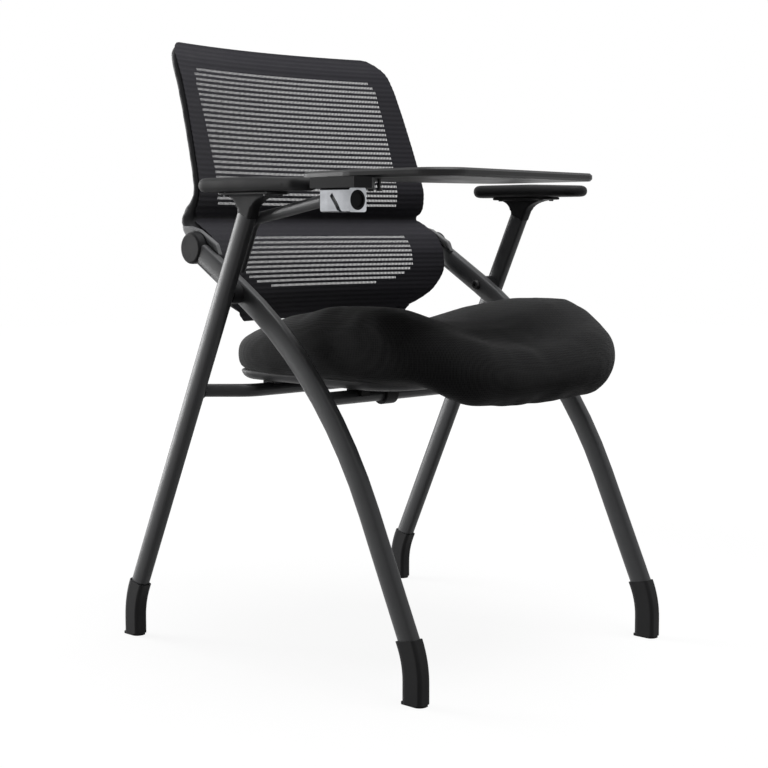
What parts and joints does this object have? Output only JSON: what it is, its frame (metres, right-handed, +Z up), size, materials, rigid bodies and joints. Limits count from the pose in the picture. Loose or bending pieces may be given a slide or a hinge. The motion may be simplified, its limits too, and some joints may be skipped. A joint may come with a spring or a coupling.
{
  "type": "tablet arm chair",
  "caption": "Folding chair with padded seat, split mesh back, arm pads and a writing tablet that swings up on a cam block beside the right arm.",
  "frame": {"origin": "on the floor, under the middle of the chair's bounding box", "axes": "+X towards the sitter's left, the chair faces -Y, +Z up"},
  "size_m": [0.624, 0.6363, 0.8977],
  "materials": {
    "tube_paint": "satin graphite powder coat",
    "hub_plastic": "satin moulded",
    "bracket_paint": "satin",
    "boot_plastic": "matt moulded",
    "glide_rubber": "matt",
    "steel": "plated",
    "mesh_fabric": "coarse woven mesh",
    "seat_fabric": "fine woven fabric",
    "pan_plastic": "matt moulded",
    "chrome_cast": "polished",
    "black_plastic": "satin moulded",
    "bush_plastic": "natural nylon",
    "board_laminate": "fine textured"
  },
  "bodies": {
    "front_frame": {"front_leg_right": "tube_paint", "front_leg_left": "tube_paint", "front_cross_tube": "tube_paint", "front_boots": "boot_plastic", "front_glides": "glide_rubber", "pivot_bushes": "black_plastic", "end_hubs": "hub_plastic", "back_brackets": "bracket_paint", "back_frame": "hub_plastic", "back_mesh": "mesh_fabric", "lumbar_mesh": "mesh_fabric"},
    "rear_frame": {"rear_leg_right": "tube_paint", "rear_leg_left": "tube_paint", "rear_cross_tube": "tube_paint", "rear_boots": "boot_plastic", "rear_glides": "glide_rubber", "pivot_bolts": "steel", "pivot_spacers": "black_plastic", "pivot_inserts": "steel", "arm_bracket_right": "hub_plastic", "arm_bracket_left": "hub_plastic", "arm_pad_right": "black_plastic", "arm_pad_left": "black_plastic", "arm_screws": "steel", "tablet_tube": "tube_paint", "guide_pin": "steel"},
    "slide_bush": {"swivel_bush": "bush_plastic"},
    "tablet": {"swivel_block": "chrome_cast", "block_plug": "black_plastic", "tablet_holder": "black_plastic", "tablet_board": "board_laminate", "tablet_screws": "steel"},
    "seat": {"seat_pan": "pan_plastic", "seat_cushion": "seat_fabric", "seat_clamps": "black_plastic", "seat_hooks": "black_plastic", "seat_saddles": "black_plastic", "seat_screws": "steel"}
  },
  "joints": [
    {"name": "fold", "type": "hinge", "parent": "front_frame", "child": "rear_frame", "pos_m": [0, 0.0635, 0.52358], "axis": [-1, 0, 0], "range_deg": [0, 50]},
    {"name": "seat_lift", "type": "hinge", "parent": "front_frame", "child": "seat", "pos_m": [0, -0.09926, 0.3845], "axis": [1, 0, 0], "range_deg": [0, 37.5]},
    {"name": "tablet_advance", "type": "slide", "parent": "rear_frame", "child": "slide_bush", "axis": [0, -1, 0], "range_m": [0, 0.0202]},
    {"name": "tablet_flip", "type": "hinge", "parent": "slide_bush", "child": "tablet", "pos_m": [-0.285, -0.1785, 0.6515], "axis": [0, -1, 0], "range_deg": [0, 90]}
  ],
  "couplings": [
    {"joint": "seat_lift", "follows": "fold", "ratio": 0.75},
    {"joint": "tablet_advance", "follows": "tablet_flip", "m_per_rad": 0.01273}
  ]
}
